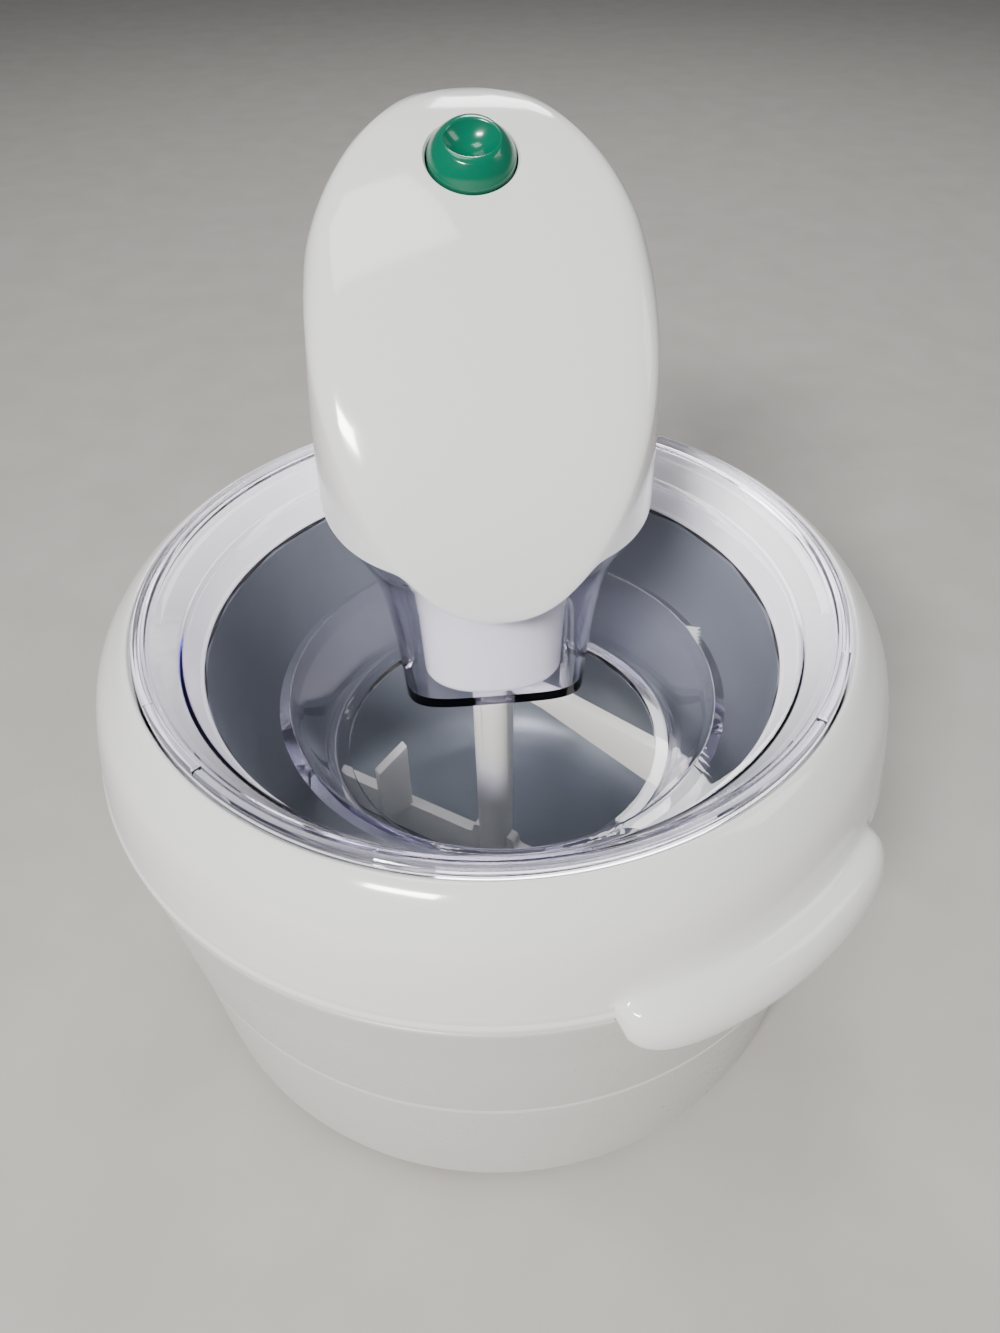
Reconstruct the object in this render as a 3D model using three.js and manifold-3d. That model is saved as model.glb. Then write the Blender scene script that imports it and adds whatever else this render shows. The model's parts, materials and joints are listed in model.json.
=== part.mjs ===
// Ice cream maker with a freezer bowl: housing, lift-out bowl, clear lid, paddle and a motor head on top.
// Millimetres, +Z up, origin on the bowl's axis at the surface it stands on; the front is -Y.
import * as THREE from 'three';
import { mergeVertices } from 'three/addons/utils/BufferGeometryUtils.js';
import Module from 'manifold-3d';

const wasm = await Module();
wasm.setup();

// ---- Driving dimensions -------------------------------------------------------------------------
const GAP = 0.4; // between pieces that touch on the real object
const ROUND = 36; // segments of the large turned pieces
const SMALL = 12; // segments of the small turned pieces
const COARSE = 20; // segments of hidden turned pieces

const FOOT_HEIGHT = 3;
const FOOT_CIRCLE = 86;
const FOOT_RADIUS = 9;
const WALL = 2.6; // housing wall
const SEAM_Z = 105.4; // joint between the lower housing and the upper shell
const BODY_RADIUS = 110.9; // widest, at the seam
const BASE_RADIUS = 101.4;
const SHELL_MOUTH = 95.7; // radius of the opening in the upper shell
const SHELL_TOP = 141;

const GRIP_RADIUS = 119.5; // outer edge of the two grip ledges
const GRIP_ANGLE = -59.5; // degrees, middle of the front grip
const GRIP_HALF_SPAN = 22; // degrees

const BOWL_RADIUS = 79.3; // inside, at the mouth
const BOWL_RIM_Z = 124.4; // inner edge of the white rim ring
const RIM_RADIUS = 94.4; // outside of the rim ring
const RIM_TOP = 138.9;
const BOWL_FLOOR = 13;
const BOWL_CORNER = 16;
const LINER_WALL = 1.4;

const LID_RADIUS = 95;
const LID_TOP = 142.6;
const LID_PLATE_Z = 133;
const LID_WALL = 2;
const HOLE_RADIUS = 41; // filler hole
const HOLE_Y = -28.7;
const FUNNEL_RADIUS = 53; // mouth of the filler funnel
const FUNNEL_FLOOR = 112;
const LUG_ANGLES = [-32.5, 90, -147.5];
const LUG_HALF_SPAN = 8;

const SOCKET_WALL = 2.2;
const SOCKET_FOOT = [25.4, 18.5]; // half width and half depth of its foot
const SOCKET_MIDDLE = 2; // y of the foot's middle
const SOCKET_HOLE = 8.6;

const HEAD_WIDTH = 43.5; // half width of the motor head
const HEAD_FRONT = -33.2;
const HEAD_BACK = 63.4;
const HEAD_MIDDLE = 20; // where it is widest
const HEAD_BOTTOM = 168;
const HEAD_NARROWING = 0.18; // share of its width that it has lost at NARROWING_HEIGHT above its bottom
const NARROWING_HEIGHT = 82;
const HEAD_WALL = 2.4;
const FACE_PEAK_Y = 52.8;
const FACE_BASE = 143.5;
const FACE_RISE = 105.8;
const FACE_RUN = 88.7;
const FACE_POWER = 1.533;
const FACE_CROWN = 0.0016; // fall of the face to each side, per square millimetre

const BUTTON_RADIUS = 10.3;
const BUTTON_Y = 30.9;
const BUTTON_HEIGHT = 4.8; // over the face
const BUTTON_TRAVEL = 3;

const MODULE_SIZE = 0.8; // gear module
const WHEEL_TEETH = 36;
const PINION_TEETH = 12;
const STAGE_ANGLE = 45; // degrees, from the output axis to the stage axle
const ROTOR_ANGLE = 168; // degrees, from the stage axle to the rotor
const OUTPUT_Z = [173, 179];
const STAGE_Z = [181, 186];
const PLATE_Z = [187.6, 189.6];
const PLATE_RADIUS = 32;
const PLATE_Y = 17;
const MOTOR_Z = [190, 213];

const PADDLE_ANGLE = -34.5; // degrees, of the plane of its frame

const CORD_WIDTH = 6.4;
const CORD_THICKNESS = 3.8;
const CORD_EXIT_Z = 186;
const RELIEF_TIP_Y = 95;
const COIL_CENTRE = [41, 172];
const COIL_INNER = 27.2;
const COIL_OUTER = 41;
const COIL_HEIGHT = 9.2;

// ---- Materials ----------------------------------------------------------------------------------
const finish = (color, roughness, metalness = 0, opacity = 1) =>
  new THREE.MeshStandardMaterial({ color, roughness, metalness, opacity, transparent: opacity < 1 });
const glossWhite = finish(0xeeeeec, 0.18);
const satinWhite = finish(0xe6e4df, 0.35);
const ivory = finish(0xe9e8df, 0.4);
const clear = finish(0xd9d4ea, 0.05, 0, 0.3);
const linerMetal = finish(0x9aa1a8, 0.35, 0.9);
const shellGrey = finish(0xb8bcc0, 0.5);
const gel = finish(0x4f7fa8, 0.4);
const foam = finish(0xf4f3ee, 0.9);
const rubber = finish(0x2a2a2c, 0.8);
const green = finish(0x00664a, 0.2);
const steel = finish(0xb4b6b8, 0.3, 1);
const brass = finish(0xc9a24b, 0.35, 1);
const copper = finish(0xa9603a, 0.45, 0.8);
const blackPlastic = finish(0x232326, 0.5);
const gearPlastic = finish(0xf0ead8, 0.5);
const cordWhite = finish(0xd8d6d2, 0.5);

// ---- Solids -------------------------------------------------------------------------------------
const radians = THREE.MathUtils.degToRad;

// Turns a closed geometry into a manifold solid with its faces out.
function solid(geometry) {
  const bare = geometry.clone();
  for (const name of Object.keys(bare.attributes)) {
    if (name !== 'position') bare.deleteAttribute(name);
  }
  const merged = mergeVertices(bare, 1e-4);
  const index = merged.index.array;
  const at = (i) => new THREE.Vector3().fromBufferAttribute(merged.attributes.position, i);
  const kept = [];
  let volume = 0;
  for (let i = 0; i < index.length; i += 3) {
    const [a, b, c] = [index[i], index[i + 1], index[i + 2]];
    if (a === b || b === c || c === a) continue;
    kept.push(a, b, c);
    volume += at(a).dot(at(b).cross(at(c)));
  }
  if (volume < 0) {
    for (let i = 0; i < kept.length; i += 3) [kept[i], kept[i + 1]] = [kept[i + 1], kept[i]];
  }
  const vertProperties = Float32Array.from(merged.attributes.position.array);
  return new wasm.Manifold(new wasm.Mesh({ numProp: 3, vertProperties, triVerts: Uint32Array.from(kept) }));
}

// A profile of [radius, height] points turned about the vertical axis.
function turned(profile, segments = ROUND, x = 0, y = 0) {
  const points = profile.map(([r, z]) => new THREE.Vector2(r, z));
  const geometry = new THREE.LatheGeometry(points, segments);
  geometry.rotateX(Math.PI / 2);
  geometry.translate(x, y, 0);
  return solid(geometry);
}

// A closed ring: the profile comes back to its first point.
const ring = (profile, segments, x, y) => turned([...profile, profile[0]], segments, x, y);

const disc = (radius, bottom, top, x = 0, y = 0, segments = SMALL) =>
  turned([[0, bottom], [radius, bottom], [radius, top], [0, top]], segments, x, y);

const washer = (inner, outer, bottom, top, x = 0, y = 0, segments = SMALL) =>
  ring([[inner, bottom], [outer, bottom], [outer, top], [inner, top]], segments, x, y);

// A flat outline of [x, y] points raised from bottom to top.
function prism(outline, bottom, top) {
  const shape = new THREE.Shape(outline.map(([x, y]) => new THREE.Vector2(x, y)));
  const geometry = new THREE.ExtrudeGeometry(shape, { depth: top - bottom, bevelEnabled: false });
  geometry.translate(0, 0, bottom);
  return solid(geometry);
}

function block(width, depth, height, x, y, z) {
  const geometry = new THREE.BoxGeometry(width, depth, height);
  geometry.translate(x, y, z);
  return solid(geometry);
}

// A solid through rings of equal point counts, closed by a fan at each end.
function lofted(rings) {
  const count = rings[0].length;
  const points = rings.flat();
  const centre = (list) => list.reduce((sum, p) => sum.add(p), new THREE.Vector3()).divideScalar(list.length);
  const first = points.push(centre(rings[0])) - 1;
  const last = points.push(centre(rings[rings.length - 1])) - 1;
  const faces = [];
  for (let i = 0; i < count; i++) {
    const j = (i + 1) % count;
    faces.push(first, j, i);
    faces.push(last, (rings.length - 1) * count + i, (rings.length - 1) * count + j);
    for (let k = 0; k < rings.length - 1; k++) {
      const a = k * count;
      const b = a + count;
      faces.push(a + i, a + j, b + j);
      faces.push(a + i, b + j, b + i);
    }
  }
  const geometry = new THREE.BufferGeometry().setFromPoints(points);
  geometry.setIndex(faces);
  return solid(geometry);
}

// Moves a solid by a matrix.
function placed(body, matrix) {
  return body.transform(matrix.toArray());
}

const joined = (...bodies) => bodies.reduce((sum, body) => sum.add(body));
const cut = (body, ...tools) => tools.reduce((rest, tool) => rest.subtract(tool), body);

const group = new THREE.Group();

// Adds one named piece; crumbs that a cut left behind are dropped.
function part(name, body, material) {
  const pieces = body.decompose().sort((a, b) => b.volume() - a.volume());
  if (pieces.length > 1 && pieces[1].volume() > 1) throw new Error(`${name} has fallen apart`);
  const mesh = pieces[0].getMesh();
  const geometry = new THREE.BufferGeometry();
  geometry.setAttribute('position', new THREE.BufferAttribute(new Float32Array(mesh.vertProperties), 3));
  geometry.setIndex([...mesh.triVerts]);
  geometry.computeVertexNormals();
  const item = new THREE.Mesh(geometry, material);
  item.name = name;
  group.add(item);
}

// Points of an arc in a profile, from one angle to another in degrees.
function arc(centreR, centreZ, radius, from, to, steps) {
  return Array.from({ length: steps + 1 }, (_, i) => {
    const angle = radians(from + ((to - from) * i) / steps);
    return [centreR + radius * Math.cos(angle), centreZ + radius * Math.sin(angle)];
  });
}

// ---- Housing ------------------------------------------------------------------------------------
function makeHousing() {
  const bottom = FOOT_HEIGHT + 0.3;
  const lip = SEAM_Z - 0.2;
  const floorTop = bottom + WALL;
  let bucket = turned([
    [0, bottom], [BASE_RADIUS - 2, bottom], [BASE_RADIUS, bottom + 1.6], [103.8, 40],
    [105, 53.6], [104.2, 54.6], [105.4, 55.6], [108.4, 88], [110.6, lip - 1], [110, lip],
    [110.6 - WALL, lip], [108.4 - WALL, 88], [103.8 - WALL, 40], [BASE_RADIUS - WALL - 0.4, floorTop],
    [0, floorTop],
  ]);
  const peg = 3;
  for (let i = 0; i < 4; i++) {
    const angle = radians(45 + 90 * i);
    const x = FOOT_CIRCLE * Math.cos(angle);
    const y = FOOT_CIRCLE * Math.sin(angle);
    bucket = cut(bucket, disc(peg + GAP, 0, floorTop + 1, x, y));
    const foot = turned([
      [0, 0], [FOOT_RADIUS - 0.8, 0], [FOOT_RADIUS, 0.8], [FOOT_RADIUS - 0.6, FOOT_HEIGHT],
      [peg, FOOT_HEIGHT], [peg, floorTop - 0.3], [0, floorTop - 0.3],
    ], SMALL, x, y);
    part(`foot_${i + 1}`, foot, rubber);
  }
  part('lower_housing', bucket, satinWhite);

  const foamFloor = floorTop + 0.3;
  part('foam_liner', turned([
    [0, foamFloor], [92, foamFloor], [96.5, foamFloor + 5], [102.4, 88], [102.4, 96], [94, 96],
    [93, 88], [85.6, 16], [84, foamFloor + 2.9], [0, foamFloor + 2.9],
  ], COARSE), foam);
}

function makeUpperShell() {
  const spigot = [106.6, 104.8];
  let shell = ring([
    [110.2, SEAM_Z + 0.2], [BODY_RADIUS, SEAM_Z + 0.9], [BODY_RADIUS, SEAM_Z + 2.2], [110.2, SEAM_Z + 3],
    [109.3, 117], [107.6, 125], [105.2, 132], [101.6, 137], [98, 140.3], [96.5, SHELL_TOP],
    [SHELL_MOUTH, 140.4], [SHELL_MOUTH, 128], [97.5, 128], [97.6, 137], [101.6, 133], [105.2, 124],
    [107, 113], [spigot[1], 108], [spigot[1], 98], [spigot[0], 98], [spigot[0], SEAM_Z + 0.2],
  ]);
  for (const middle of [GRIP_ANGLE, GRIP_ANGLE + 180]) shell = joined(shell, makeGrip(middle));
  part('upper_shell', shell, glossWhite);
}

// A grip ledge: a lip with a rolled outer edge and a finger pocket under it, drawn in at its ends.
function makeGrip(middle) {
  const steps = 14;
  const root = 108.8;
  const section = [
    [107.9, SEAM_Z + 1], [107.9, 112.6], [root, 113.6], [GRIP_RADIUS - 5.4, 112.8], [GRIP_RADIUS - 2, 111.2],
    [GRIP_RADIUS, 105], [GRIP_RADIUS - 0.4, 99.8], [GRIP_RADIUS - 1.6, 98.8],
    [GRIP_RADIUS - 2.7, 100], [GRIP_RADIUS - 3.6, 108], [112, 109.2],
    [111.6, SEAM_Z + 1],
  ];
  const rings = [];
  for (let i = 0; i <= steps; i++) {
    const along = Math.sin((Math.PI / 2) * ((2 * i) / steps - 1));
    const angle = radians(middle + along * GRIP_HALF_SPAN);
    const reach = Math.sqrt(Math.max(0, 1 - Math.abs(along) ** 9));
    rings.push(section.map(([r, z]) => {
      const out = Math.min(r, root + Math.max(0, r - root) * reach);
      const above = z - SEAM_Z - 1;
      const high = above < 0 ? SEAM_Z + 1 + above * reach : z - above * 0.25 * (1 - reach);
      return new THREE.Vector3(out * Math.cos(angle), out * Math.sin(angle), high);
    }));
  }
  return lofted(rings);
}

// ---- Freezer bowl -------------------------------------------------------------------------------
function makeBowl() {
  const cornerR = BOWL_RADIUS - 7.3 - BOWL_CORNER;
  const cornerZ = BOWL_FLOOR + BOWL_CORNER;
  const inner = arc(cornerR, cornerZ, BOWL_CORNER, -90, 0, 3);
  const outer = arc(cornerR, cornerZ, BOWL_CORNER + LINER_WALL, 0, -90, 3);
  const rimTop = BOWL_RIM_Z - 1.8;
  part('bowl_liner', turned([
    [0, BOWL_FLOOR], ...inner, [BOWL_RADIUS, rimTop - 2], [BOWL_RADIUS, rimTop], [88.6, rimTop],
    [88.6, rimTop - LINER_WALL], [BOWL_RADIUS + LINER_WALL, rimTop - LINER_WALL], ...outer,
    [0, BOWL_FLOOR - LINER_WALL],
  ].reverse()), linerMetal);

  part('bowl_outer', turned([
    [0, 9.5], [74, 9.5], [81, 12], [83, 18], [91.4, 112], [91.4, 130], [89.6, 130], [89.6, 112],
    [81.2, 18.6], [79.6, 13.6], [73.6, 11.2], [0, 11.2],
  ]), shellGrey);

  part('coolant_fill', ring([
    [68, 13.4], [73, 13.4], [79.4, 20], [87.6, 112], [87.6, 119.6], [82.4, 119.6], [76, 40],
    [75.2, 30], [72.6, 21],
  ], COARSE), gel);

  part('bowl_seal', washer(80.2, 84, BOWL_RIM_Z - 1.5, BOWL_RIM_Z - 0.8, 0, 0, COARSE), rubber);

  part('bowl_rim', ring([
    [BOWL_RADIUS + 0.3, BOWL_RIM_Z - 0.5], [BOWL_RADIUS + 0.9, BOWL_RIM_Z], [93.2, RIM_TOP],
    [RIM_RADIUS - 0.4, RIM_TOP], [RIM_RADIUS, RIM_TOP - 0.6], [RIM_RADIUS, 117], [91.9, 117],
    [91.9, 133.4], [84.4, 125.4], [84.4, BOWL_RIM_Z - 0.5],
  ]), glossWhite);
}

// ---- Motor head surfaces, shared by the cover, its base and the socket that holds it ---------------
// A point of the head's plan outline, drawn in by inset.
function headOutline(angle, inset = 0) {
  const c = Math.cos(angle);
  const s = Math.sin(angle);
  const power = s < 0 ? 2.45 : 1.7;
  const depth = s < 0 ? HEAD_MIDDLE - HEAD_FRONT : HEAD_BACK - HEAD_MIDDLE;
  const x = (HEAD_WIDTH - inset) * Math.sign(c) * Math.abs(c) ** (2 / power);
  const y = HEAD_MIDDLE + (depth - inset) * Math.sign(s) * Math.abs(s) ** (2 / power);
  return [x, y];
}

// Height of the face over a point; edge says how near the outline the point is, from 0 to 1.
function faceHeight(x, y, edge) {
  const run = Math.min(1, Math.abs(y - FACE_PEAK_Y) / FACE_RUN);
  const spine = FACE_BASE + FACE_RISE * (1 - run ** FACE_POWER) ** (1 / FACE_POWER);
  const back = THREE.MathUtils.smoothstep(y, HEAD_FRONT, HEAD_BACK);
  const start = 0.91 - 0.11 * back;
  const turn = Math.max(0, (edge - start) / (1 - start));
  const drop = (1.5 + 15.3 * back) * (1 - Math.sqrt(1 - turn * turn));
  return spine - FACE_CROWN * x * x - drop;
}

// The bottom edge is level, and follows the face down to the chin with a soft bend.
function headBottom(x, y) {
  const softness = 1.1;
  const edge = faceHeight(x, y, 1) - 0.6;
  const low = Math.min(edge, HEAD_BOTTOM);
  const spread = Math.exp((low - edge) / softness) + Math.exp((low - HEAD_BOTTOM) / softness);
  return low - softness * Math.log(spread);
}

// A point of the head, which grows narrower upwards.
function headPoint(x, y, z) {
  const rise = (z - HEAD_BOTTOM) / NARROWING_HEIGHT;
  return new THREE.Vector3(x * (1 - HEAD_NARROWING * rise * Math.abs(rise)), y, z);
}

const HEAD_STEPS = 28;
const headAngles = Array.from({ length: HEAD_STEPS }, (_, i) => (2 * Math.PI * (i + 0.5)) / HEAD_STEPS);

// The filled head, drawn in by inset and reaching drop below its bottom edge.
function headSolid(inset, drop) {
  const rim = headAngles.map((angle) => headOutline(angle, inset));
  const rings = [
    rim.map(([x, y]) => headPoint(x, y, headBottom(x, y) - drop)),
    rim.map(([x, y]) => {
      const lowest = headBottom(x, y) - drop + 0.3;
      return headPoint(x, y, Math.max(lowest, faceHeight(x, y, 1) - inset));
    }),
  ];
  for (const edge of [0.97, 0.9, 0.78, 0.55, 0.25]) {
    rings.push(rim.map(([x, y]) => {
      const px = x * edge;
      const py = HEAD_MIDDLE + (y - HEAD_MIDDLE) * edge;
      return headPoint(px, py, faceHeight(px, py, edge) - inset);
    }));
  }
  return lofted(rings);
}

// ---- Clear lid ----------------------------------------------------------------------------------
// The socket: a tall clear cup whose plan grows from a squarish foot to the outline of the head.
const SOCKET_LEVELS = [[112, 0], [131, 0.1], [148, 0.28], [157.5, 0.55], [163, 0.8], [167, 0.97]];

function socketPoint(angle, share, inset) {
  const c = Math.cos(angle);
  const s = Math.sin(angle);
  const power = 2 / 5;
  const footX = (SOCKET_FOOT[0] - inset) * Math.sign(c) * Math.abs(c) ** power;
  const footY = SOCKET_MIDDLE + (SOCKET_FOOT[1] - inset) * Math.sign(s) * Math.abs(s) ** power;
  const [headX, headY] = headOutline(angle, 1 + inset);
  return [footX + (headX - footX) * share, footY + (headY - footY) * share];
}

function socketSolid(inset, floor, over) {
  const last = SOCKET_LEVELS.length - 1;
  const rings = SOCKET_LEVELS.map(([z, share], level) => headAngles.map((angle) => {
    const [x, y] = socketPoint(angle, share, inset);
    const edge = headBottom(...headOutline(angle)) - 0.8;
    const height = level === last ? edge + over : Math.min(z, edge - 0.3 * (last - level));
    return new THREE.Vector3(x, y, level === 0 ? floor : height);
  }));
  return lofted(rings);
}

function makeLid() {
  const plateUnder = LID_PLATE_Z - LID_WALL;
  const plate = turned([
    [0, plateUnder], [83.6, plateUnder], [88.8, 137.7], [91.4, RIM_TOP + GAP], [LID_RADIUS, RIM_TOP + GAP],
    [LID_RADIUS, LID_TOP - 0.6], [94.3, LID_TOP], [92, LID_TOP], [91.5, 141.7], [90.3, 141.4], [89.6, 140.2],
    [84.8, LID_PLATE_Z + 0.4], [84, LID_PLATE_Z], [0, LID_PLATE_Z],
  ]);
  const lipTop = FUNNEL_FLOOR + LID_WALL;
  const wall = [[44.6, lipTop], [46, 118.2], [48.6, 123.4], [51, 128.4], [FUNNEL_RADIUS, LID_PLATE_Z]];
  const outside = wall.map(([r, z]) => [r + LID_WALL, z]);
  const bulk = [[0, FUNNEL_FLOOR], [45.6, FUNNEL_FLOOR], ...outside, [0, LID_PLATE_Z]];
  const funnel = turned(bulk, ROUND, 0, HOLE_Y);
  const opening = turned([
    [0, FUNNEL_FLOOR - 2], [HOLE_RADIUS, FUNNEL_FLOOR - 2], [HOLE_RADIUS, lipTop], ...wall,
    [FUNNEL_RADIUS + 0.6, LID_PLATE_Z + 2], [0, LID_PLATE_Z + 2],
  ], ROUND, 0, HOLE_Y);
  let lid = cut(joined(plate, funnel), opening);
  lid = joined(lid, socketSolid(0, FUNNEL_FLOOR, 0));
  const shaftHole = disc(SOCKET_HOLE, 100, 120, 0, 0, COARSE);
  lid = cut(lid, socketSolid(SOCKET_WALL, FUNNEL_FLOOR + LID_WALL, 3), shaftHole);
  for (const middle of LUG_ANGLES) lid = joined(lid, makeLug(middle));
  part('lid', lid, clear);
}

// A thickened stretch of the lid's rim that the fingers turn it by.
function makeLug(middle) {
  const outline = [];
  for (const [radius, way] of [[92.4, 1], [94.9, -1]]) {
    for (let i = -2; i <= 2; i++) {
      const angle = radians(middle + (way * i * LUG_HALF_SPAN) / 2);
      outline.push([radius * Math.cos(angle), radius * Math.sin(angle)]);
    }
  }
  return prism(outline, LID_TOP - 1.5, LID_TOP + 1);
}

// ---- Motor head ---------------------------------------------------------------------------------
const buttonPlace = (() => {
  const step = 0.5;
  const rise = faceHeight(0, BUTTON_Y + step, 0) - faceHeight(0, BUTTON_Y - step, 0);
  const slope = Math.atan2(rise, 2 * step);
  const matrix = new THREE.Matrix4().makeRotationX(slope);
  return matrix.setPosition(0, BUTTON_Y, faceHeight(0, BUTTON_Y, 0));
})();

const COVER_SCREWS = [[27, -11], [-27, -11], [20, 44], [-20, 44]];
const PILLARS = [[-27, 8], [19, -5], [0, 42]];
const FLANGE_Z = [HEAD_BOTTOM + 0.4, HEAD_BOTTOM + 2.8];

function makeHeadCover() {
  let cover = headSolid(0, 0).subtract(headSolid(HEAD_WALL, 6));
  const filled = headSolid(1, 0);
  for (const [x, y] of COVER_SCREWS) {
    const boss = disc(3.6, FLANGE_Z[1] + 0.6, 250, x, y).intersect(filled);
    cover = joined(cover, boss);
    cover = cut(cover, disc(1.8, FLANGE_Z[1] - 1, FLANGE_Z[1] + 8.2, x, y));
  }
  const collar = disc(BUTTON_RADIUS + 3.4, -6.5, 0.5, 0, 0, COARSE);
  cover = joined(cover, placed(collar, buttonPlace).intersect(filled));
  const recess = turned([
    [0, -20], [BUTTON_RADIUS + 2.2, -20], [BUTTON_RADIUS + 2.2, -4.4], [BUTTON_RADIUS + 0.4, -4.4],
    [BUTTON_RADIUS + 0.4, -1.4], [BUTTON_RADIUS + 1.6, 0.6], [BUTTON_RADIUS + 1.6, 2], [0, 2],
  ], COARSE);
  cover = cut(cover, placed(recess, buttonPlace));
  for (const side of [-1, 1]) {
    const rib = block(1.6, 8, 18, side * 14.5, 0, -11);
    cover = joined(cover, placed(rib, buttonPlace).intersect(filled));
  }
  cover = cut(cover, reliefBore());
  part('head_cover', cover, glossWhite);
}

// The nose of the base: a hollow plug that stands in the lid's socket.
function nose(inset, low, high) {
  const levels = [[low, 0], [low + 14, 0.11], [high - 8, 0.6], [high, 1]];
  return lofted(levels.map(([z, share]) => headAngles.map((angle) => {
    const c = Math.cos(angle);
    const s = Math.sin(angle);
    const x = (20.2 + 2.8 * share - inset) * Math.sign(c) * Math.abs(c) ** 0.85;
    const y = SOCKET_MIDDLE - 0.4 + (15.6 + 9.4 * share - inset) * Math.sign(s) * Math.abs(s) ** 0.85;
    return new THREE.Vector3(x, y, z);
  })));
}

function makeHeadBase() {
  const [bottom, top] = FLANGE_Z;
  const reach = HEAD_FRONT + 7;
  const flange = headAngles.map((angle) => headOutline(angle, HEAD_WALL + 2 * GAP));
  const tip = FUNNEL_FLOOR + LID_WALL + GAP;
  const clipped = flange.map(([x, y]) => [x, Math.max(y, reach)]);
  let base = joined(prism(clipped, bottom, top), nose(0, tip, bottom + 1));
  base = cut(base, nose(2, tip + 2, top + 4), disc(SOCKET_HOLE + 1.6, 110, 120, 0, 0, COARSE));
  const bridge = washer(8.3, 14, 150, 153, 0, 0, COARSE);
  const spokes = [0, 60, 120].map((angle) => {
    const spoke = block(52, 3, 3, 0, 0, 151.5).rotate([0, 0, angle]);
    return cut(spoke, disc(10, 140, 160)).intersect(nose(1, 114, 175));
  });
  base = joined(base, bridge, ...spokes);
  for (const [x, y] of PILLARS) {
    base = joined(base, disc(3.2, bottom + 1, PLATE_Z[0] - 0.3, x, y));
    base = cut(base, disc(1.8, PLATE_Z[0] - 8.6, PLATE_Z[1], x, y));
  }
  const [stageX, stageY] = stageCentre;
  base = joined(base, disc(5, bottom + 1, OUTPUT_Z[0] - 1.2, stageX, stageY));
  base = cut(base, disc(1.8, bottom + 0.8, OUTPUT_Z[1], stageX, stageY));
  for (const [x, y] of COVER_SCREWS) base = cut(base, disc(1.9, bottom - 4, top + 2, x, y));
  part('head_base', base, glossWhite);

  part('sleeve_bush', washer(7.6, 8, 148, 154, 0, 0, COARSE), brass);
  COVER_SCREWS.forEach(([x, y], i) => {
    const shank = FLANGE_Z[1] + 4.2;
    part(`cover_screw_${i + 1}`, turned([
      [0, bottom - 2.4], [2.8, bottom - 2.4], [3, bottom - 1.8], [3, bottom - 0.4], [1.5, bottom - 0.4],
      [1.5, shank], [0, shank + 1],
    ], SMALL, x, y), steel);
  });
  PILLARS.forEach(([x, y], i) => {
    const seat = PLATE_Z[1] + 0.3;
    part(`gearbox_screw_${i + 1}`, turned([
      [0, seat - 9.9], [1.5, seat - 8.9], [1.5, seat], [3, seat],
      [3, seat + 1.2], [2.6, seat + 1.8], [0, seat + 1.8],
    ], SMALL, x, y), steel);
  });
}

// ---- Gear train and motor -----------------------------------------------------------------------
const centreDistance = (MODULE_SIZE * (WHEEL_TEETH + PINION_TEETH)) / 2;
const polar = (distance, degrees) => {
  const angle = radians(degrees);
  return [distance * Math.cos(angle), distance * Math.sin(angle)];
};
const stageCentre = polar(centreDistance, STAGE_ANGLE);
const rotorCentre = polar(centreDistance, ROTOR_ANGLE).map((value, i) => value + stageCentre[i]);

// A spur gear with one tooth centred on the angle phase, in degrees.
function gear(teeth, phase, bore, bottom, top, [x, y]) {
  const pitch = (MODULE_SIZE * teeth) / 2;
  const tip = pitch + 0.75 * MODULE_SIZE;
  const root = pitch - 1.1 * MODULE_SIZE;
  const step = 360 / teeth;
  const outline = [];
  for (let i = 0; i < teeth; i++) {
    const middle = phase + i * step;
    for (const [radius, turn] of [[root, -0.27], [tip, -0.12], [tip, 0.12], [root, 0.27]]) {
      const [px, py] = polar(radius, middle + turn * step);
      outline.push([x + px, y + py]);
    }
  }
  return cut(prism(outline, bottom, top), disc(bore, bottom - 1, top + 1, x, y));
}

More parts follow.
